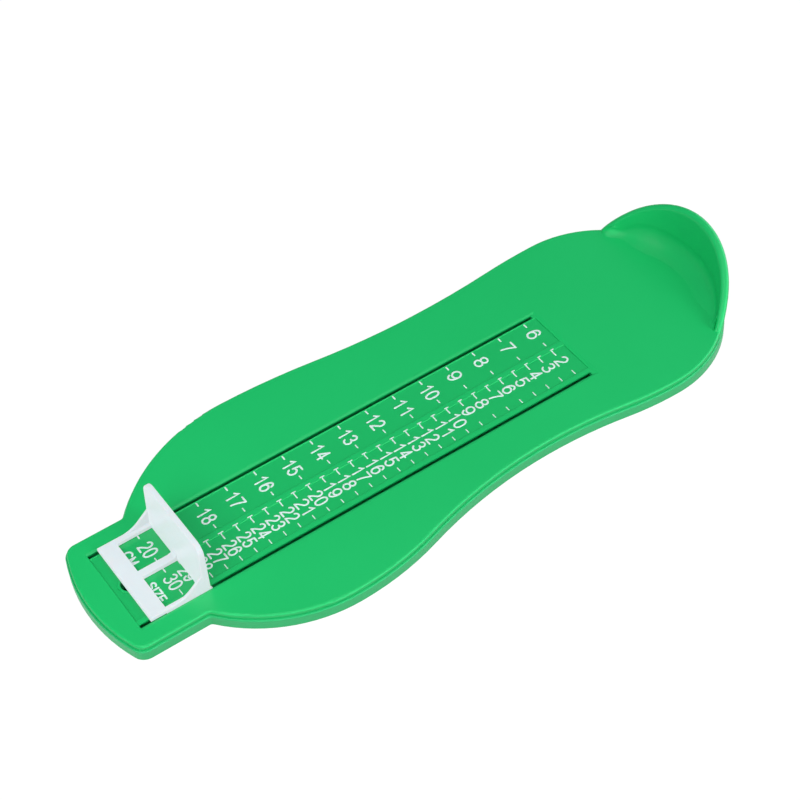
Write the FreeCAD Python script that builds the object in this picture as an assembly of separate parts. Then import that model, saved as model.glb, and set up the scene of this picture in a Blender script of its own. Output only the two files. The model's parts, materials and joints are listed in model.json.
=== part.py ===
import FreeCAD, Part
import math
import os

# Foot gauge: a green base with a heel cup and a recessed scale between two slots, and a white slider.
# Millimetres. X runs from the heel stop to the toe, Y towards the inner side of the foot, Z up.
# Y = 0 is the axis of the scale and Z = 0 the table. The last lines move it all to the base's middle.

Vector = FreeCAD.Vector

# --- Base, seen from above ---
heel_centre_x = 36.7
heel_offset = 3.73
heel_radius = 38.05
toe_x = 224.2
toe_to_inner_ball = 65.8
toe_to_outer_ball = 70.1
base_width = 86.1
outer_reach = 44.25
inner_waist = (83.6, 30.05)
inner_ball = (toe_x - toe_to_inner_ball, base_width - outer_reach)
inner_ball_radius = 49.55
inner_bend_share = 0.62
outer_waist = (85.3, 39.35)
outer_ball = (toe_x - toe_to_outer_ball, outer_reach)
outer_ball_radius = 60.5
outer_bend_share = 0.52
heel_bend_share = 0.4
neck_round = 1.5
inner_tab = 23.05
outer_tab = 22.75
tab_corner_radius = 4.3
toe_arc_radius = 57.2

# --- Base, heights ---
frame_height = 3.6
deck_thickness = 1.6
rim_ledge = 0.6
rim_round = 0.8
ledge_round = 0.5
deck_top = frame_height + deck_thickness

# --- Heel cup ---
cup_top = 22.85
cup_wall = 3.1
cup_end_thickness = 2.2
cup_flare = 1.85
cup_crest_radius = 34.9
cup_lean = 1.5
cup_cove = 7.0
cup_cove_share = 0.6
cup_end_depth = 0.1
cup_end_wall = 0.15
cup_cove_sink = 0.06
cup_sections = 13

# --- Scale strip and slots ---
slot_start_x = 56.0
toe_to_slot = 8.8
slot_end_x = toe_x - toe_to_slot
slot_centre = 15.2
slot_width = 1.3
slot_lip = 0.6
slot_relief = 0.7
strip_drop = 0.3
strip_slope = 0.8
strip_end_slope = 0.1
panel_drop = 0.25
panel_start_x = 55.3
panel_margin = 0.4
toe_to_rib_end = 17.4
rib_end_x = toe_x - toe_to_rib_end
outer_panel = (-14.15, -1.65)
inner_panel = (0.45, 12.8)
toe_to_hole = 13.9
hang_hole_x = toe_x - toe_to_hole
hang_hole_radius = 2.6
hang_collar = 0.8
collar_lift = 0.05
collar_round = 0.25
hole_chamfer = 0.25
rail_round = 0.2
strip_top = deck_top - strip_drop

# --- Slider ---
slider_length = 19.7
rest_gap = 3.4
stop_face_x = slot_end_x - rest_gap - slider_length
slider_plate = 1.25
slider_lift = 0.15
slot_play = 0.12
stop_top = 23.5
stop_foot = 2.7
stop_tip = 1.8
stop_corner = 3.6
stop_foot_round = 1.5
window_length = 11.5
window_bar = 2.7
outer_side_bar = 2.1
inner_side_bar = 1.35
brace_width = 0.95
brace_reach = 9.2
brace_round = 9.0
brace_slope = 41.0
stop_edge_round = 0.45
plate_edge_round = 0.4
window_edge_round = 0.2
leg_length = 13.0

# --- Slider keeper, under the strip ---
keeper_gap = 0.3
keeper_plate = 1.3
keeper_margin = 1.0
keeper_inset = 0.9
leg_clearance = 0.05
barb_height = 0.6
barb_reach = 0.4

# --- Under frame ---
frame_wall = 1.8
floor_thickness = 1.0
floor_hole_margin = 0.5
rib_thickness = 1.4
rib_pitch = 20.0
first_rib_x = 12.0
channel_gap = 0.8
channel_end_gap = 2.4
socket_radius = 3.0
peg_radius = 1.5
peg_clearance = 0.04
peg_length = 2.4
first_peg_x = first_rib_x + 2 * rib_pitch
peg_pitch = 3 * rib_pitch

# --- How far a cutting tool stands out past what it cuts ---
cut_over = 1.0

# --- How near an edge lies to where it is looked for ---
edge_tolerance = 0.001


def box(x_range, y_range, z_range):
    low = Vector(x_range[0], y_range[0], z_range[0])
    return Part.makeBox(x_range[1] - x_range[0], y_range[1] - y_range[0], z_range[1] - z_range[0], low)


def post(x, y, radius, low, high):
    return Part.makeCylinder(radius, high - low, Vector(x, y, low))


def slab(wire, low, high):
    """The upright solid over a closed plan outline."""
    face = Part.Face(wire)
    face.translate(Vector(0, 0, low))
    return face.extrude(Vector(0, 0, high - low))


def bow(centre, radius, start, end, side):
    """A plan arc between two angles, mirrored to the side it belongs to."""
    points = []
    for angle in (start, (start + end) / 2, end):
        x = centre[0] + radius * math.cos(angle)
        y = centre[1] + radius * math.sin(angle)
        points.append(Vector(x, side * y, 0))
    return Part.Arc(*points).toShape()


def bend(start, end, share, grow, side):
    """Two arcs between two places where the outline runs along X, one turning each way."""
    dx = end[0] - start[0]
    dy = end[1] - start[1]
    reach = (dx * dx + dy * dy) / (2 * abs(dy))
    away = math.copysign(1, dy)
    turn = math.asin(dx / reach)
    first_radius = share * reach
    last_radius = (1 - share) * reach
    first = bow((start[0], start[1] + away * first_radius), first_radius - away * grow,
                -away * math.pi / 2, -away * (math.pi / 2 - turn), side)
    last = bow((end[0], end[1] - away * last_radius), last_radius + away * grow,
               away * (math.pi / 2 + turn), away * math.pi / 2, side)
    return [first, last]


def base_side(waist, ball, ball_radius, share, heel_half, tab, side, grow):
    """One side of the outline, from the heel circle to the toe end's corner."""
    edges = bend((heel_centre_x, heel_half), waist, heel_bend_share, grow, side)
    edges += bend(waist, ball, share, grow, side)
    ball_y = ball[1] - ball_radius
    neck_y = tab + neck_round
    reach = ball_radius + neck_round
    neck_x = ball[0] + math.sqrt(reach ** 2 - (neck_y - ball_y) ** 2)
    turn = math.atan2(neck_y - ball_y, neck_x - ball[0])
    edges.append(bow((ball[0], ball_y), ball_radius + grow, math.pi / 2, turn, side))
    edges.append(bow((neck_x, neck_y), neck_round - grow, math.pi + turn, 1.5 * math.pi, side))
    corner, corner_turn = toe_corner(tab)
    tab_y = side * (tab + grow)
    edges.append(Part.LineSegment(Vector(neck_x, tab_y, 0), Vector(corner[0], tab_y, 0)).toShape())
    edges.append(bow(corner, tab_corner_radius + grow, math.pi / 2, corner_turn, side))
    return edges


def toe_corner(tab):
    """The centre of a corner of the toe end and the angle at which it meets the bowed end."""
    y = tab - tab_corner_radius
    reach = toe_arc_radius - tab_corner_radius
    x = toe_x - toe_arc_radius + math.sqrt(reach ** 2 - y ** 2)
    return (x, y), math.asin(y / reach)


def base_outline(grow=0.0):
    """Heel circle, two free sides, a straight tab and a bowed toe end, all grown outwards."""
    edges = [bow((heel_centre_x, -heel_offset), heel_radius + grow, math.pi / 2, 1.5 * math.pi, 1)]
    edges += base_side(inner_waist, inner_ball, inner_ball_radius, inner_bend_share,
                       heel_radius - heel_offset, inner_tab, 1, grow)
    edges += base_side(outer_waist, outer_ball, outer_ball_radius, outer_bend_share,
                       heel_radius + heel_offset, outer_tab, -1, grow)
    edges.append(bow((toe_x - toe_arc_radius, 0), toe_arc_radius + grow,
                     toe_corner(inner_tab)[1], -toe_corner(outer_tab)[1], 1))
    return Part.Wire(Part.__sortEdges__(edges))


def cup_crest(y):
    """Height of the cup's crest, an arc when it is seen from behind the heel."""
    drop = cup_crest_radius - math.sqrt(cup_crest_radius ** 2 - y ** 2)
    return cup_top - drop


def cup_end_angle():
    """Angle from the heel's back at which the crest has come down to the deck."""
    drop = cup_top - (deck_top - cup_end_depth)
    y = math.sqrt(cup_crest_radius ** 2 - (cup_crest_radius - drop) ** 2)
    return math.asin(y / heel_radius)


def cup_section(angle):
    """Upright section of the cup: outer wall, round crest, leaning inner wall and cove."""
    crest = cup_crest(heel_radius * math.sin(angle))
    rise = max(0, crest - deck_top) / (cup_top - deck_top)
    thickness = cup_end_thickness + (cup_wall - cup_end_thickness) * rise
    half = thickness / 2
    shoulder = crest - half
    foot = heel_radius - rim_ledge * (1 - rise) ** 2
    outer = foot + cup_flare * rise
    floor = min(deck_top, shoulder - cup_end_wall) - cup_cove_sink
    wall = shoulder - floor
    cove = min(cup_cove, cup_cove_share * wall)
    inner = outer - thickness - cup_lean * rise
    corner = inner - cove
    low = cove * (1 - math.sqrt(0.5))
    outline = [
        ("line", (foot, frame_height), (outer, shoulder)),
        ("arc", (outer, shoulder), (outer - half, crest), (outer - thickness, shoulder)),
        ("line", (outer - thickness, shoulder), (inner, floor + cove)),
        ("arc", (inner, floor + cove), (inner - low, floor + low), (corner, floor)),
        ("line", (corner, floor), (corner, frame_height)),
        ("line", (corner, frame_height), (foot, frame_height)),
    ]
    edges = []
    for shape, *places in outline:
        points = [Vector(heel_centre_x - r * math.cos(angle), -heel_offset + r * math.sin(angle), z)
                  for r, z in places]
        maker = Part.Arc if shape == "arc" else Part.LineSegment
        edges.append(maker(*points).toShape())
    return Part.Wire(edges)


def heel_cup():
    end = cup_end_angle()
    steps = range(cup_sections)
    sections = [cup_section(end * (2 * i / (cup_sections - 1) - 1)) for i in steps]
    return Part.makeLoft(sections, True, False)


def deck_shell():
    """Foot plate with its rounded rim, the heel cup, the sunk scale, the slots and the fixing pegs."""
    plate = slab(base_outline(-rim_ledge), frame_height, deck_top)
    rim = [edge for edge in plate.Edges if edge.BoundBox.ZMin > deck_top - edge_tolerance]
    shell = plate.makeFillet(rim_round, rim).fuse(heel_cup())
    shell = shell.cut(scale_recess())
    for side in (-1, 1):
        y = side * slot_centre
        run = (slot_start_x, slot_end_x)
        half = slot_width / 2
        shell = shell.cut(box(run, (y - half, y + half), (frame_height - cut_over, deck_top + cut_over)))
        half += slot_relief
        shell = shell.cut(box(run, (y - half, y + half), (frame_height - cut_over, strip_top - slot_lip)))
    shell = shell.makeFillet(rail_round, [edge for edge in shell.Edges if beside_panel(edge)])
    collar_top = strip_top + collar_lift
    collar = post(hang_hole_x, 0, hang_hole_radius + hang_collar, frame_height, collar_top)
    crest = [edge for edge in collar.Edges if edge.BoundBox.ZMin > collar_top - edge_tolerance]
    shell = shell.fuse(collar.makeFillet(collar_round, crest))
    shell = shell.cut(post(hang_hole_x, 0, hang_hole_radius, frame_height - cut_over, deck_top + cut_over))
    mouth = Part.makeCone(hang_hole_radius, hang_hole_radius + hole_chamfer, hole_chamfer,
                          Vector(hang_hole_x, 0, collar_top - hole_chamfer))
    shell = shell.cut(mouth)
    for x, y in peg_places():
        peg_top = frame_height + deck_thickness / 2
        shell = shell.fuse(post(x, y, peg_radius, frame_height - peg_length, peg_top))
    return shell


def beside_panel(edge):
    """True for a long upper edge where the strip drops to one of its panels."""
    room = edge.BoundBox
    level = abs(room.ZMin - strip_top) < edge_tolerance and abs(room.ZMax - strip_top) < edge_tolerance
    near = min(abs(room.YMin - y) for y in outer_panel + inner_panel)
    return level and near < edge_tolerance and room.XLength > slider_length


def rectangle(x_range, y_half, z):
    corners = [(x_range[0], -y_half), (x_range[1], -y_half), (x_range[1], y_half), (x_range[0], y_half)]
    return Part.makePolygon([Vector(x, y, z) for x, y in corners + corners[:1]])


def scale_recess():
    """What is sunk below the foot plate: the strip with sloping edges, and its panels.

    Two printed panels lie beside a middle rib, which ends where one panel goes on across the strip.
    """
    outer = slot_centre + slot_width / 2
    ends = (panel_start_x - panel_margin, slot_end_x)
    wide_ends = (ends[0] - strip_slope, ends[1] + strip_end_slope)
    recess = Part.makeLoft([rectangle(ends, outer, strip_top),
                            rectangle(wide_ends, outer + strip_slope, deck_top)], True, True)
    heights = (strip_top - panel_drop, strip_top)
    for panel in (outer_panel, inner_panel):
        recess = recess.fuse(box((panel_start_x, slot_end_x), panel, heights))
    across = (outer_panel[0], inner_panel[1])
    return recess.fuse(box((rib_end_x, slot_end_x), across, heights))


def along_base(first, pitch):
    """Places from the first one on, as far as the slots reach."""
    count = int((slot_end_x - first) / pitch) + 1
    return [first + i * pitch for i in range(count)]


def channel_half():
    """Half width of the free channel in which the keeper runs."""
    return slot_centre + slot_width / 2 + keeper_margin + channel_gap


def peg_places():
    """One peg under the heel, and pairs on cross ribs, half way between the channel and the wall."""
    rail = channel_half() + rib_thickness
    places = [(first_rib_x, -heel_offset)]
    for x in along_base(first_peg_x, peg_pitch):
        for side in (-1, 1):
            wall = reach_at(x, side) - frame_wall
            if wall - rail > 2 * socket_radius:
                places.append((x, side * (rail + wall) / 2))
    return places


def reach_at(x, side):
    """How far the base's foot stands out from the scale's axis at one place along it."""
    cut = Part.LineSegment(Vector(x, 0, 0), Vector(x, side * 2 * widest(), 0)).toShape()
    return abs(base_outline().distToShape(cut)[1][0][0].y)


def widest():
    """The largest distance of the outline from the scale's axis."""
    return max(inner_waist[1], inner_ball[1], outer_waist[1], outer_ball[1], heel_radius + heel_offset)


def under_frame():
    """Shallow tray that carries the deck's rim, with rails beside the keeper's channel, ribs and sockets."""
    inside = slab(base_outline(-frame_wall), floor_thickness, frame_height)
    ring = slab(base_outline(), 0, frame_height)
    ledge = [edge for edge in ring.Edges if edge.BoundBox.ZMin > frame_height - edge_tolerance]
    ring = ring.makeFillet(ledge_round, ledge).cut(inside)
    half = channel_half()
    start = slot_start_x - channel_end_gap
    end = slot_end_x + channel_end_gap
    heights = (floor_thickness, frame_height)
    long = (0, toe_x)
    across = (-widest(), widest())
    ribs = []
    for side in (-1, 1):
        edge = sorted((side * half, side * (half + rib_thickness)))
        ribs.append(box(long, edge, heights))
    for x in along_base(first_rib_x, rib_pitch):
        ribs.append(box((x - rib_thickness / 2, x + rib_thickness / 2), across, heights))
    ribs.append(box((start - rib_thickness, start), across, heights))
    ribs.append(box((end, end + rib_thickness), across, heights))
    web = ribs[0].multiFuse(ribs[1:])
    web = web.cut(box((start, end), (-half, half), heights))
    for x, y in peg_places():
        web = web.fuse(post(x, y, socket_radius, *heights))
    frame = ring.fuse(web.common(inside))
    for x, y in peg_places():
        frame = frame.cut(post(x, y, peg_radius + peg_clearance, floor_thickness, frame_height + cut_over))
    hole = post(hang_hole_x, 0, hang_hole_radius + floor_hole_margin, -cut_over, floor_thickness + cut_over)
    return frame.cut(hole).removeSplitter()


def upright(points, low, high):
    """A solid with an outline in X and Z, pushed along Y."""
    places = [Vector(x, low, z) for x, z in points]
    return Part.Face(Part.makePolygon(places + places[:1])).extrude(Vector(0, high - low, 0))


def toe_stop(half):
    """The wall that the toes touch: upright towards the heel, leaning towards the toe above the plate."""
    low = plate_low()
    back = stop_face_x
    foot = back + stop_foot
    tip = back + stop_tip
    outline = [(back, low), (foot, low), (foot, low + slider_plate), (tip, stop_top), (back, stop_top)]
    wall = upright(outline, -half, half)
    corners = [edge for edge in wall.Edges
               if edge.BoundBox.ZMin > stop_top - edge_tolerance and edge.BoundBox.YLength < edge_tolerance]
    wall = wall.makeFillet(stop_corner, corners)
    rims = [edge for edge in wall.Edges
            if edge.BoundBox.ZMax > low + slider_plate + edge_tolerance and not across_wall(edge)]
    return wall.makeFillet(stop_edge_round, rims)


def across_wall(edge):
    """True for an edge that joins the wall's two faces."""
    room = edge.BoundBox
    return room.XLength > stop_tip - edge_tolerance


def side_rail(side):
    """Bar beside a window, rising in a soft curve to the brace against the toe stop."""
    half = leg_y()[1]
    y = side * (half - brace_width)
    low = plate_low()
    top = low + slider_plate
    near = stop_face_x + stop_tip
    end = stop_face_x + slider_length
    curve_x = stop_face_x + stop_foot + brace_reach
    turn = math.radians(brace_slope)

    def on_curve(angle):
        return Vector(curve_x - brace_round * math.sin(angle), y, top + brace_round * (1 - math.cos(angle)))

    steep = on_curve(turn)
    peak = Vector(near, y, steep.z + (steep.x - near) * math.tan(turn))
    toe = Vector(end, y, top)
    edges = [Part.LineSegment(toe, on_curve(0)).toShape(),
             Part.Arc(on_curve(0), on_curve(turn / 2), steep).toShape(),
             Part.LineSegment(steep, peak).toShape()]
    edges += Part.makePolygon([peak, Vector(near, y, low), Vector(end, y, low), toe]).Edges
    rail = Part.Face(Part.Wire(edges)).extrude(Vector(0, side * brace_width, 0))
    rims = [edge for edge in rail.Edges
            if edge.BoundBox.ZMin > top - edge_tolerance and not on_face(edge, near)]
    return rail.makeFillet(plate_edge_round, rims)


def on_face(edge, x):
    """True for an edge that lies in the upright plane across the base at this place."""
    return abs(edge.BoundBox.XMax - x) < edge_tolerance and abs(edge.BoundBox.XMin - x) < edge_tolerance


def bar_cove(x, z):
    """Soft corner between the toe stop and the bar that parts the windows."""
    y = -window_bar / 2
    inset = stop_foot_round * (1 - math.sqrt(0.5))
    high = Vector(x, y, z + stop_foot_round)
    far = Vector(x + stop_foot_round, y, z)
    back = x - stop_tip / 2
    sunk = z - slider_plate / 2
    arc = Part.Arc(high, Vector(x + inset, y, z + inset), far).toShape()
    corners = [far, Vector(far.x, y, sunk), Vector(back, y, sunk), Vector(back, y, high.z), high]
    rest = Part.makePolygon(corners)
    return Part.Face(Part.Wire([arc] + rest.Edges)).extrude(Vector(0, window_bar, 0))


def plate_low():
    return strip_top + slider_lift


def leg_y():
    """Inner and outer face of a leg, measured from the scale's axis."""
    outer = slot_centre + slot_width / 2 - slot_play
    inner = slot_centre - slot_width / 2 + slot_play
    return inner, outer


def slider_plate_shape():
    """Plate with two windows and rounded upper edges, without the rails at its sides."""
    low = plate_low()
    top = low + slider_plate
    start = stop_face_x
    end = start + slider_length
    half = leg_y()[1]
    foot_x = start + stop_foot
    reach = half - brace_width / 2
    plate = box((start, end), (-reach, reach), (low, top))
    toe_edge = [edge for edge in plate.Edges
                if edge.BoundBox.ZMin > top - edge_tolerance and on_face(edge, end)]
    plate = plate.makeFillet(plate_edge_round, toe_edge)
    for side, bar in ((-1, outer_side_bar), (1, inner_side_bar)):
        sides = sorted((side * window_bar / 2, side * (half - bar)))
        window = box((foot_x, foot_x + window_length), sides, (low - cut_over, top + cut_over))
        plate = plate.cut(window)
        rims = [edge for edge in plate.Edges
                if edge.BoundBox.ZMin > top - edge_tolerance and not on_face(edge, foot_x)
                and window.BoundBox.isInside(edge.CenterOfMass)]
        plate = plate.makeFillet(window_edge_round, rims)
    return plate


def slider_saddle():
    """Plate with two windows, toe stop, braces and the legs that run in the slots."""
    low = plate_low()
    leg_in, half = leg_y()
    start = stop_face_x
    run = (start, start + leg_length)
    leg_end = keeper_low() - barb_height
    body = slider_plate_shape().fuse(toe_stop(half)).fuse(bar_cove(start + stop_foot, low + slider_plate))
    for side in (-1, 1):
        body = body.fuse(side_rail(side))
        leg = sorted((side * leg_in, side * half))
        body = body.fuse(box(run, leg, (leg_end, low + slider_plate / 2)))
        barb = sorted((side * (leg_in - barb_reach), side * leg_in))
        body = body.fuse(box(run, barb, (leg_end, keeper_low() - leg_clearance)))
    return body.removeSplitter()


def keeper_low():
    return frame_height - keeper_gap - keeper_plate


def slider_keeper():
    """Plate under the strip that the slider's legs are snapped through."""
    inner, outer = leg_y()
    start = stop_face_x
    end = start + leg_length
    half = outer + keeper_margin
    low = keeper_low()
    plate = box((start - keeper_inset, end + keeper_inset), (-half, half), (low, low + keeper_plate))
    for side in (-1, 1):
        sides = sorted((side * (inner - leg_clearance), side * (outer + leg_clearance)))
        plate = plate.cut(box((start - leg_clearance, end + leg_clearance), sides,
                              (low - cut_over, low + keeper_plate + cut_over)))
    return plate


nodes = {
    "deck_shell": deck_shell(),
    "under_frame": under_frame(),
    "slider_saddle": slider_saddle(),
    "slider_keeper": slider_keeper(),
}
whole = Part.makeCompound([nodes["deck_shell"], nodes["under_frame"]]).optimalBoundingBox(False)
middle = Vector(-(whole.XMin + whole.XMax) / 2, -(whole.YMin + whole.YMax) / 2, 0)
os.makedirs("parts", exist_ok=True)
for name, shape in nodes.items():
    shape.translate(middle)
    shape.exportStep("parts/" + name + ".step")
    box_now = shape.optimalBoundingBox(False)
    print(name, "valid", shape.isValid(), "solids", len(shape.Solids), "volume", round(shape.Volume, 1),
          "x %.2f %.2f y %.2f %.2f z %.2f %.2f" % (box_now.XMin, box_now.XMax, box_now.YMin, box_now.YMax,
                                                  box_now.ZMin, box_now.ZMax))
print("middle", middle)
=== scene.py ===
import bpy
import bmesh
import json
import math
from mathutils import Matrix, Vector


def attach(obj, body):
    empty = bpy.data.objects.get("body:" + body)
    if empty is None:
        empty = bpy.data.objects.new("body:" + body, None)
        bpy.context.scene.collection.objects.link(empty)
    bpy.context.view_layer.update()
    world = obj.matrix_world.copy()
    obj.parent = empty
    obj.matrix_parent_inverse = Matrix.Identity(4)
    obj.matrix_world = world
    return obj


# Foot gauge: a green base with a heel cup, a printed scale between two slots and a white sliding toe stop.

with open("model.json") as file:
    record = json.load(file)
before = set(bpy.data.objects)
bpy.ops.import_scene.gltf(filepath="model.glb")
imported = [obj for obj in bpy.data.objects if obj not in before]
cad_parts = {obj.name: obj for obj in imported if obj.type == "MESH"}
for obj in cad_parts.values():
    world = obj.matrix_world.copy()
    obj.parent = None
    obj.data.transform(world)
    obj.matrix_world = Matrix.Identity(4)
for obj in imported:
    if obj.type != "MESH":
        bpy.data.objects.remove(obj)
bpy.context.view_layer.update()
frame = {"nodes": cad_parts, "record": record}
bpy.context.scene.view_settings.view_transform = "Standard"
print("frame loaded")

# Places of the camera and the lamps are in metres.
cameraSetup = {
    "place": (0.215175, 0.35395, 0.46878),
    "target": (-0.003815, -0.01394, 0.0),
    "rollDegrees": -4.89,
    "lens": 92.72,
    "sensorWidth": 36.0,
    "clipStart": 0.01,
}


def aimed(place, target):  # a transform at the place, which looks at the target
    place = Vector(place)
    turn = (Vector(target) - place).to_track_quat("-Z", "Y").to_matrix().to_4x4()
    return Matrix.Translation(place) @ turn


def addCamera(setup):
    data = bpy.data.cameras.new("viewCamera")
    data.lens = setup["lens"]
    data.sensor_width = setup["sensorWidth"]
    data.sensor_fit = "HORIZONTAL"
    data.clip_start = setup["clipStart"]
    camera = bpy.data.objects.new("viewCamera", data)
    bpy.context.scene.collection.objects.link(camera)
    roll = Matrix.Rotation(math.radians(setup["rollDegrees"]), 4, "Z")
    camera.matrix_world = aimed(setup["place"], setup["target"]) @ roll
    bpy.context.scene.camera = camera


addCamera(cameraSetup)
print("camera placed")

# Soft square lamps that aim at the middle of the base and don't show in its gloss.
lampSetup = {
    "color": (0.86, 0.96, 1.0),
    "lamps": [
        {"name": "keyLamp", "place": (0.50, 0.18, 0.58), "size": 0.5, "watts": 4.0},
        {"name": "toeLamp", "place": (0.33, -0.02, 0.04), "size": 0.1, "watts": 0.18},
        {"name": "sideLamp", "place": (-0.30, 0.85, 0.32), "size": 0.4, "watts": 5.4},
        {"name": "topLamp", "place": (-0.18, 0.1, 0.88), "size": 0.8, "watts": 3.8},
    ],
}


def addLamp(setup, color):
    data = bpy.data.lights.new(setup["name"], "AREA")
    data.shape = "SQUARE"
    data.size = setup["size"]
    data.energy = setup["watts"]
    data.color = color
    lamp = bpy.data.objects.new(setup["name"], data)
    lamp.visible_glossy = False
    lamp.visible_camera = False
    bpy.context.scene.collection.objects.link(lamp)
    lamp.matrix_world = aimed(setup["place"], (0, 0, 0))


for setup in lampSetup["lamps"]:
    addLamp(setup, lampSetup["color"])


# Small helpers for node trees. Each returns the new node's output.
def combined(nodes, links, operation, first, second):
    node = nodes.new("ShaderNodeMath")
    node.operation = operation
    links.new(first, node.inputs[0])
    if isinstance(second, float):
        node.inputs[1].default_value = second
    else:
        links.new(second, node.inputs[1])
    return node.outputs[0]


def mapped(nodes, links, source, reach, results):
    node = nodes.new("ShaderNodeMapRange")
    node.inputs["From Min"].default_value = reach[0]
    node.inputs["From Max"].default_value = reach[1]
    node.inputs["To Min"].default_value = results[0]
    node.inputs["To Max"].default_value = results[1]
    links.new(source, node.inputs["Value"])
    return node.outputs[0]


def mixedShader(nodes, links, share, first, second):
    node = nodes.new("ShaderNodeMixShader")
    links.new(share, node.inputs[0])
    links.new(first, node.inputs[1])
    links.new(second, node.inputs[2])
    return node.outputs[0]


def mixedColor(nodes, first, second):
    node = nodes.new("ShaderNodeMix")
    node.data_type = "RGBA"
    node.inputs[6].default_value = (*first, 1)
    node.inputs[7].default_value = (*second, 1)
    return node


# The sky lights matte surfaces evenly, looks white to the camera, and shows a pale band in the gloss.
skySetup = {
    "white": (1.0, 1.0, 1.0),
    "matteStrength": 0.27,
    "seenStrength": 1.0,
    "bandColor": (0.5, 1.0, 0.85),
    "bandStrength": 3.2,
    "dim": 0.05,
    "bandFade": (0.56, 0.68),  # heights, as the sine of the angle above the horizon
    "bandSide": (-0.64, 0.77, 0.0),
    "sideFade": (-0.25, 0.45),
}


def skyLight(nodes, color, strength):
    node = nodes.new("ShaderNodeBackground")
    node.inputs["Color"].default_value = (*color, 1)
    node.inputs["Strength"].default_value = strength
    return node


def addSky(setup):
    world = bpy.data.worlds.new("paleWorld")
    bpy.context.scene.world = world
    world.use_nodes = True
    nodes = world.node_tree.nodes
    links = world.node_tree.links
    nodes.clear()
    output = nodes.new("ShaderNodeOutputWorld")
    matte = skyLight(nodes, setup["white"], setup["matteStrength"])
    seen = skyLight(nodes, setup["white"], setup["seenStrength"])
    mirrored = skyLight(nodes, setup["bandColor"], setup["bandStrength"])
    place = nodes.new("ShaderNodeTexCoord")
    split = nodes.new("ShaderNodeSeparateXYZ")
    links.new(place.outputs["Generated"], split.inputs[0])
    fade = (setup["bandStrength"], setup["dim"])
    height = mapped(nodes, links, split.outputs["Z"], setup["bandFade"], fade)
    facing = nodes.new("ShaderNodeVectorMath")  # the band is bright on one side only
    facing.operation = "DOT_PRODUCT"
    facing.inputs[1].default_value = setup["bandSide"]
    links.new(place.outputs["Generated"], facing.inputs[0])
    side = mapped(nodes, links, facing.outputs["Value"], setup["sideFade"], (setup["dim"], 1.0))
    links.new(combined(nodes, links, "MULTIPLY", height, side), mirrored.inputs["Strength"])
    path = nodes.new("ShaderNodeLightPath")
    through = path.outputs["Is Transmission Ray"]
    direct = combined(nodes, links, "MAXIMUM", path.outputs["Is Camera Ray"], through)
    glossy = mixedShader(nodes, links, path.outputs["Is Glossy Ray"], matte.outputs[0], mirrored.outputs[0])
    links.new(mixedShader(nodes, links, direct, glossy, seen.outputs[0]), output.inputs["Surface"])


addSky(skySetup)

# The floor is white to the camera, keeps a soft shadow, and has painted shade, a dark patch, under the
# hanging hole.
floorSetup = {
    "halfWidth": 2.0,
    "color": (0.5, 0.5, 0.5),
    "shadow": 0.1,
    "backdropAndPaintedGlow": 1.08,
    "mirror": 0.45,
    "paintedHoleShadeReach": 0.012,
    "paintedHoleShadeColor": (0.002, 0.04, 0.012),
}
hangingHole = next(mount for mount in frame["record"]["mounts"] if mount["name"] == "hanging_hole")


def floorMaterial(setup):
    material = bpy.data.materials.new("paleFloor")
    material.use_nodes = True
    nodes = material.node_tree.nodes
    links = material.node_tree.links
    nodes.clear()
    output = nodes.new("ShaderNodeOutputMaterial")
    matte = nodes.new("ShaderNodeBsdfDiffuse")
    matteColorWithPaintedShade = mixedColor(nodes, setup["paintedHoleShadeColor"], setup["color"])
    links.new(matteColorWithPaintedShade.outputs[2], matte.inputs["Color"])
    backdropAndPaintedGlow = nodes.new("ShaderNodeEmission")
    backdropAndPaintedGlow.inputs["Color"].default_value = (1, 1, 1, 1)
    backdropAndPaintedGlow.inputs["Strength"].default_value = setup["backdropAndPaintedGlow"]
    path = nodes.new("ShaderNodeLightPath")
    mirrored = combined(nodes, links, "MULTIPLY", path.outputs["Is Glossy Ray"], setup["mirror"])
    seen = combined(nodes, links, "MAXIMUM", path.outputs["Is Camera Ray"], mirrored)
    place = nodes.new("ShaderNodeTexCoord")
    gap = nodes.new("ShaderNodeVectorMath")  # how far a place on the floor is from under the hole
    gap.operation = "DISTANCE"
    gap.inputs[1].default_value = (hangingHole["pos_m"][0], hangingHole["pos_m"][1], 0.0)
    links.new(place.outputs["Object"], gap.inputs[0])
    # Painted shade: within this reach of the hanging hole the floor turns dark and stops glowing.
    clear = combined(nodes, links, "GREATER_THAN", gap.outputs["Value"], setup["paintedHoleShadeReach"])
    links.new(clear, matteColorWithPaintedShade.inputs[0])
    lit = combined(nodes, links, "MULTIPLY", seen, clear)
    share = combined(nodes, links, "MULTIPLY", lit, 1 - setup["shadow"])
    mix = mixedShader(nodes, links, share, matte.outputs[0], backdropAndPaintedGlow.outputs[0])
    links.new(mix, output.inputs["Surface"])
    return material


def addFloor(setup):
    mesh = bpy.data.meshes.new("floor")
    shape = bmesh.new()
    bmesh.ops.create_grid(shape, x_segments=1, y_segments=1, size=setup["halfWidth"])
    shape.to_mesh(mesh)
    shape.free()
    floor = bpy.data.objects.new("floor", mesh)
    floor.data.materials.append(floorMaterial(setup))
    bpy.context.scene.collection.objects.link(floor)


addFloor(floorSetup)
print("studio built")

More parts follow.
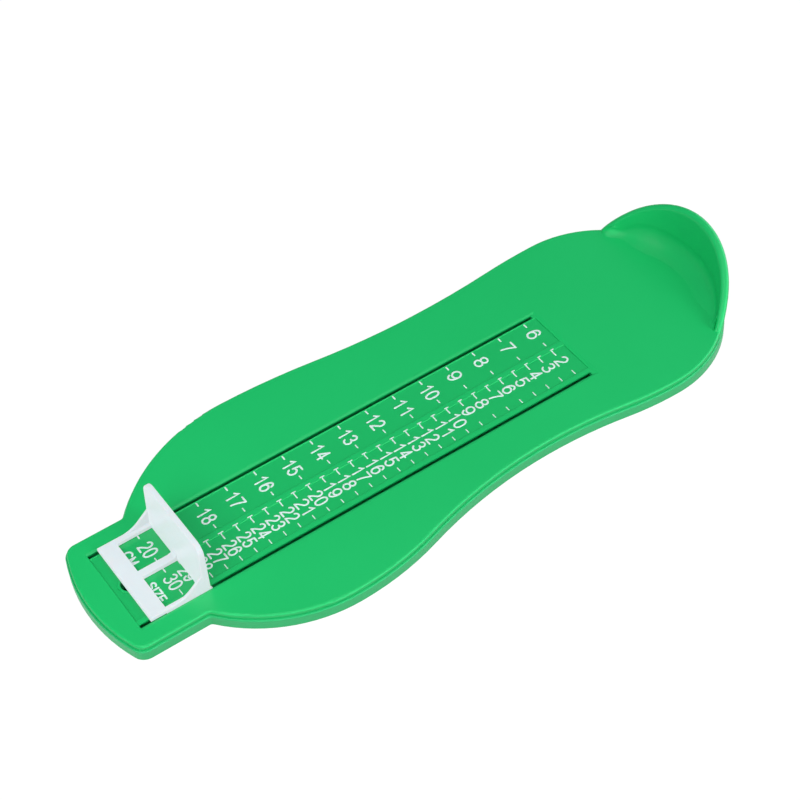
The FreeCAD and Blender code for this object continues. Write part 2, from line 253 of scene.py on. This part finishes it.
# What all the plastics share: a fine spark-eroded grain, a slow drift of the tint and a satin gloss.
satinFinish = {
    "roughness": 0.34,
    "glossSpread": 0.04,
    "grainReach": (0.3, 0.7),
    "grainDetail": 3.0,
    "grainStrength": 0.5,
    "cloudDetail": 2.0,
    "depth": 0.0,  # how much light goes below the surface
    "depthReach": 0.002,
    "backdropAndPaintedGlow": (0.0, 0.0, 0.0),
}
greenPlastic = {
    **satinFinish,
    "color": (0.0045, 0.42, 0.102),
    "pale": (0.007, 0.45, 0.115),
    "specular": 0.6,
    "grainSize": 2600.0,
    "grainDepth": 0.00001,
    "cloudSize": 22.0,
    "sunkBelow": 0.0048,  # height of the scale's sunk panels, which get painted shade: their colour is a little darker
    "sunkStep": 0.0001,
    "sunkPaintedShade": 0.92,
}
# Painted shade: the frame is the deck's green made darker, so its side walls look less lit.
framePlasticPaintedShade = {
    **satinFinish,
    "color": (0.006, 0.37, 0.105),
    "pale": (0.009, 0.40, 0.118),
    "specular": 0.65,
    "grainSize": 2600.0,
    "grainDepth": 0.00001,
    "cloudSize": 22.0,
}
whitePlasticWithPaintedGlow = {
    **satinFinish,
    "color": (0.24, 0.25, 0.26),
    "pale": (0.255, 0.265, 0.275),
    "specular": 0.15,
    "grainSize": 3000.0,
    "grainDepth": 0.000006,
    "cloudSize": 60.0,
    "depth": 0.4,
    # Painted light: the white plastic glows on its own, though it is no lamp, so its faces stay flat and
    # bright.
    "backdropAndPaintedGlow": (0.475, 0.517, 0.53),
}
printPaint = {
    **satinFinish,
    "color": (0.60, 0.68, 0.64),
    "pale": (0.66, 0.71, 0.68),
    "roughness": 0.5,
    "specular": 0.35,
    "grainSize": 5000.0,
    "grainDepth": 0.000008,
    "cloudSize": 300.0,
}


# Painted shade: below the given height, on the sunk panels of the scale, the colour is made darker.
def shadedWhereSunk(setup, nodes, links, place, color):
    split = nodes.new("ShaderNodeSeparateXYZ")
    links.new(place.outputs["Object"], split.inputs[0])
    reach = (setup["sunkBelow"] - setup["sunkStep"], setup["sunkBelow"])
    share = mapped(nodes, links, split.outputs["Z"], reach, (setup["sunkPaintedShade"], 1.0))
    paintedShadeColor = nodes.new("ShaderNodeVectorMath")
    paintedShadeColor.operation = "SCALE"
    links.new(color, paintedShadeColor.inputs[0])
    links.new(share, paintedShadeColor.inputs["Scale"])
    return paintedShadeColor.outputs[0]


def noise(setup, nodes, links, place, size, detail):
    node = nodes.new("ShaderNodeTexNoise")
    node.inputs["Scale"].default_value = setup[size]
    node.inputs["Detail"].default_value = setup[detail]
    links.new(place.outputs["Object"], node.inputs["Vector"])
    return node.outputs["Fac"]


def mouldedPlastic(name, setup):
    material = bpy.data.materials.new(name)
    material.use_nodes = True
    nodes = material.node_tree.nodes
    links = material.node_tree.links
    shader = nodes["Principled BSDF"]
    shader.inputs["Specular IOR Level"].default_value = setup["specular"]
    shader.inputs["Subsurface Weight"].default_value = setup["depth"]
    shader.inputs["Subsurface Scale"].default_value = setup["depthReach"]
    # Any glow set here is painted light, as no part of the gauge is a lamp.
    shader.inputs["Emission Color"].default_value = (*setup["backdropAndPaintedGlow"], 1)
    shader.inputs["Emission Strength"].default_value = 1.0
    place = nodes.new("ShaderNodeTexCoord")
    tint = mixedColor(nodes, setup["color"], setup["pale"])
    links.new(noise(setup, nodes, links, place, "cloudSize", "cloudDetail"), tint.inputs[0])
    color = tint.outputs[2]
    if "sunkBelow" in setup:
        color = shadedWhereSunk(setup, nodes, links, place, color)
    links.new(color, shader.inputs["Base Color"])
    grain = noise(setup, nodes, links, place, "grainSize", "grainDetail")
    spread = (setup["roughness"] - setup["glossSpread"], setup["roughness"] + setup["glossSpread"])
    links.new(mapped(nodes, links, grain, setup["grainReach"], spread), shader.inputs["Roughness"])
    relief = nodes.new("ShaderNodeBump")
    relief.inputs["Distance"].default_value = setup["grainDepth"]
    relief.inputs["Strength"].default_value = setup["grainStrength"]
    links.new(grain, relief.inputs["Height"])
    links.new(relief.outputs[0], shader.inputs["Normal"])
    return material


finishes = {
    "deck_shell": mouldedPlastic("deckGreen", greenPlastic),
    "under_frame": mouldedPlastic("frameGreenPaintedShade", framePlasticPaintedShade),
    "slider_saddle": mouldedPlastic("sliderWhite", whitePlasticWithPaintedGlow),
    "slider_keeper": mouldedPlastic("keeperWhite", whitePlasticWithPaintedGlow),
}
for nodeName, material in finishes.items():
    for materialSlot in frame["nodes"][nodeName].material_slots:
        materialSlot.material = material
paint = mouldedPlastic("scalePaint", printPaint)
print("finishes set")

# The printed scale. Places are millimetres from the scale's zero and across from its axis.
scaleSetup = {
    "holePlace": 210.3,  # where the hanging hole lies on the scale
    "shift": -0.15,
    "panelTop": 4.65,  # height of the sunk panels above the table
    "rise": 0.12,  # height of a bead of paint
    "beadDegrees": (0, 35, 90, 145, 180),
    "endDegrees": (35, 65, 85),
    "mitreMost": 1.4,
    "mitreLeast": 0.3,
    "arcStep": 18,
    "drift": 0.018,  # how fast the print turns towards the inner side near both ends
    "driftHeel": 90.0,
    "driftToe": 149.0,
}
scaleZero = hangingHole["pos_m"][0] * 1000 - scaleSetup["holePlace"]
scaleAxis = hangingHole["pos_m"][1] * 1000


def arc(x, y, across, up, start, end):  # points along part of an ellipse, in degrees
    count = max(4, int(abs(end - start) / scaleSetup["arcStep"]))
    turns = [math.radians(start + (end - start) * i / count) for i in range(count + 1)]
    return [(x + across * math.cos(turn), y + up * math.sin(turn)) for turn in turns]


def flipped(strokes):
    return [[(1 - x, 1 - y) for x, y in stroke] for stroke in strokes]


sixStrokes = [
    arc(0.52, 0.70, 0.42, 0.30, 12, 90) + arc(0.52, 0.36, 0.52, 0.64, 90, 180)[1:],
    arc(0.5, 0.325, 0.5, 0.325, 0, 360),
]
# Each sign: free room to its left, its width and free room to its right, in heights, and its strokes.
digitRoom = (0.12, 0.54, 0.12)
signs = {
    "0": (*digitRoom, [arc(0.5, 0.6, 0.5, 0.4, 0, 180) + arc(0.5, 0.4, 0.5, 0.4, 180, 360) + [(1, 0.6)]]),
    "1": (0.21, 0.25, 0.31, [[(0, 0.73), (0.55, 0.86), (1, 1), (1, 0)]]),
    "2": (*digitRoom, [arc(0.5, 0.71, 0.46, 0.29, 165, -38) + [(0.3, 0.24), (0.02, 0)], [(0.02, 0), (1, 0)]]),
    "3": (*digitRoom, [arc(0.48, 0.765, 0.42, 0.235, 160, -90), arc(0.48, 0.265, 0.52, 0.265, 90, -160)]),
    "4": (*digitRoom, [[(0.72, 0), (0.72, 1)], [(0.72, 1), (0, 0.3)], [(0, 0.3), (1, 0.3)]]),
    "5": (*digitRoom, [[(0.93, 1), (0.2, 1)], [(0.2, 1), (0.07, 0.49)],
                       arc(0.47, 0.325, 0.52, 0.325, 142, -160)]),
    "6": (*digitRoom, sixStrokes),
    "7": (*digitRoom, [[(0, 1), (1, 1)], [(1, 1), (0.68, 0.64), (0.46, 0.3), (0.36, 0)]]),
    "8": (*digitRoom, [arc(0.5, 0.765, 0.42, 0.235, 0, 360), arc(0.5, 0.265, 0.5, 0.265, 0, 360)]),
    "9": (*digitRoom, flipped(sixStrokes)),
    "C": (0.12, 0.72, 0.1, [arc(0.53, 0.5, 0.53, 0.5, 38, 322)]),
    "M": (0.14, 0.68, 0.14, [[(0, 0), (0, 1)], [(0, 1), (0.5, 0.02)], [(0.5, 0.02), (1, 1)],
                             [(1, 1), (1, 0)]]),
    "S": (0.1, 0.58, 0.1, [arc(0.5, 0.75, 0.46, 0.25, 25, 270) + arc(0.5, 0.25, 0.5, 0.25, 90, -160)[1:]]),
    "I": (0.15, 0.0, 0.15, [[(0, 0), (0, 1)]]),
    "Z": (0.1, 0.58, 0.1, [[(0, 1), (1, 1)], [(1, 1), (0, 0)], [(0, 0), (1, 0)]]),
    "E": (0.14, 0.5, 0.1, [[(1, 1), (0, 1)], [(0, 1), (0, 0)], [(0, 0), (1, 0)], [(0, 0.52), (0.92, 0.52)]]),
}


def inRow(x, y, z):
    return Vector(((x + scaleZero + scaleSetup["shift"]) / 1000, (y + scaleAxis) / 1000, z / 1000))


# A low bead of paint along points in millimetres, with round ends unless it closes on itself.
def inkStroke(shape, points, width, rise):
    path = [Vector(point) for point in points]
    closed = (path[0] - path[-1]).length < 0.001
    if closed:
        path = path[:-1]
    count = len(path)
    rings = []
    for i in range(count):
        before = path[i] - path[i - 1] if closed or i > 0 else path[1] - path[0]
        after = path[(i + 1) % count] - path[i] if closed or i < count - 1 else before
        along = (before.normalized() + after.normalized()).normalized()
        bend = max(scaleSetup["mitreLeast"], along.dot(after.normalized()))
        rings.append((path[i], along, min(scaleSetup["mitreMost"], 1 / bend)))
    if not closed:
        rings = roundEnd(rings[0], -1, width) + rings + roundEnd(rings[-1], 1, width)
    bands = []
    for middle, along, share in rings:
        side = Vector((-along.y, along.x)) * share * width / 2
        band = []
        for degrees in scaleSetup["beadDegrees"]:
            turn = math.radians(degrees)
            x, y = middle + side * math.cos(turn)
            z = scaleSetup["panelTop"] + rise * math.sin(turn) * min(1.0, share)
            band.append(shape.verts.new(inRow(x, y, z)))
        bands.append(band)
    pairs = list(zip(bands, bands[1:] + bands[:1])) if closed else list(zip(bands, bands[1:]))
    for first, second in pairs:
        for j in range(len(first) - 1):
            shape.faces.new((first[j], second[j], second[j + 1], first[j + 1]))


# Bands that narrow over half the stroke's width past one end.
def roundEnd(ring, direction, width):
    middle, along, share = ring
    ends = []
    for degrees in scaleSetup["endDegrees"]:
        turn = math.radians(degrees)
        ends.append((middle + along * direction * math.sin(turn) * width / 2, along, math.cos(turn)))
    return ends if direction > 0 else ends[::-1]


def drift(x):  # how far the print lies towards the inner side here
    past = max(0.0, scaleSetup["driftHeel"] - x) + max(0.0, x - scaleSetup["driftToe"])
    return scaleSetup["drift"] * past


# Text whose letters stand towards the toe end, stretched to one width, with its middle at x.
def writeSigns(shape, text, x, left, width, height, stroke):
    places = []
    reach = 0.0
    for sign in text:
        before, wide, after, strokes = signs[sign]
        places.append((reach + before, wide, strokes))
        reach += before + wide + after
    start = places[0][0]
    span = places[-1][0] + places[-1][1] - start
    across = (width - stroke) / span
    tall = height - stroke
    for place, wide, strokes in places:
        for points in strokes:
            laid = [(x + tall * (0.5 - up), left + stroke / 2 + across * (place - start + wide * right))
                    for right, up in points]
            inkStroke(shape, laid, stroke, scaleSetup["rise"])


def addPrint(name, draw, setup):  # one printed piece on the base
    shape = bmesh.new()
    draw(shape, setup)
    bmesh.ops.recalc_face_normals(shape, faces=shape.faces)
    mesh = bpy.data.meshes.new(name)
    shape.to_mesh(mesh)
    shape.free()
    for face in mesh.polygons:
        face.use_smooth = True
    mesh.materials.append(paint)
    piece = bpy.data.objects.new(name, mesh)
    bpy.context.scene.collection.objects.link(piece)
    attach(piece, "base")


centimetreRow = {
    "numbers": range(6, 21),
    "firstX": 60.0,
    "pitch": 10.0,
    "left": -11.2,
    "pairWidth": 5.4,
    "singleWidth": 3.3,
    "letters": 4.95,
    "stroke": 0.62,
}
sizeRow = {
    "numbers": range(2, 31),
    "firstX": 60.0,
    "pitch": 5.0,
    "left": 3.35,
    "pairWidth": 5.4,
    "singleWidth": 3.0,
    "letters": 4.55,
    "stroke": 0.58,
}


def drawNumbers(shape, row):
    for i, number in enumerate(row["numbers"]):
        text = str(number)
        x = row["firstX"] + i * row["pitch"]
        width = row["pairWidth"] if len(text) > 1 else row["singleWidth"]
        writeSigns(shape, text, x, row["left"] + drift(x), width, row["letters"], row["stroke"])


addPrint("centimetreNumbers", drawNumbers, centimetreRow)
addPrint("sizeNumbers", drawNumbers, sizeRow)

# Each tick: where it starts and ends across the scale, its stroke, and how far its ends follow the drift.
centimetreTickRow = {
    "count": len(centimetreRow["numbers"]),
    "firstX": 60.0,
    "pitch": 10.0,
    "ticks": ((-14.25, -12.8, 0.5, 0.0, 0.0), (-4.55, -3.25, 0.4, 1.0, 1.0)),
}
sizeTickRow = {
    "count": len(sizeRow["numbers"]),
    "firstX": 60.0,
    "pitch": 5.0,
    "ticks": ((0.3, 2.1, 0.42, 0.0, 0.5), (10.5, 11.9, 0.33, 0.0, 0.5)),
    "capReach": 0.8,
    "capAt": -0.05,
    "capStroke": 0.62,
    "capToeShares": (0.2, 1.0),  # how much of a cap's toe half shows at the first and at the last tick
    "ribEdge": 0.5,
    "ribRise": 0.37,
}


def drawTicks(shape, row):
    for i in range(row["count"]):
        x = row["firstX"] + i * row["pitch"]
        for start, end, stroke, startShare, endShare in row["ticks"]:
            points = [(x, start + drift(x) * startShare), (x, end + drift(x) * endShare)]
            inkStroke(shape, points, stroke, scaleSetup["rise"])
        if "capAt" in row:
            drawCap(shape, row, x, i / (row["count"] - 1))


def drawCap(shape, row, x, along):  # the short cross stroke on the middle rib
    cap = row["capAt"]
    inkStroke(shape, [(x, cap), (x, row["ribEdge"])], row["ticks"][0][2], row["ribRise"])
    first, last = row["capToeShares"]
    toeShare = first + (last - first) * along
    inkStroke(shape, [(x - row["capReach"], cap), (x + row["capReach"] * toeShare, cap)], row["capStroke"],
              row["ribRise"])


addPrint("centimetreTicks", drawTicks, centimetreTickRow)
addPrint("sizeTicks", drawTicks, sizeTickRow)

unitWords = {
    "words": (("CM", -10.6, 5.5), ("SIZE", 3.4, 7.9)),  # each word, its left side and its width
    "x": 205.75,
    "letters": 3.3,
    "stroke": 0.6,
}


def drawUnits(shape, setup):
    for text, left, width in setup["words"]:
        writeSigns(shape, text, setup["x"], left, width, setup["letters"], setup["stroke"])


addPrint("unitWords", drawUnits, unitWords)
print("scale printed")
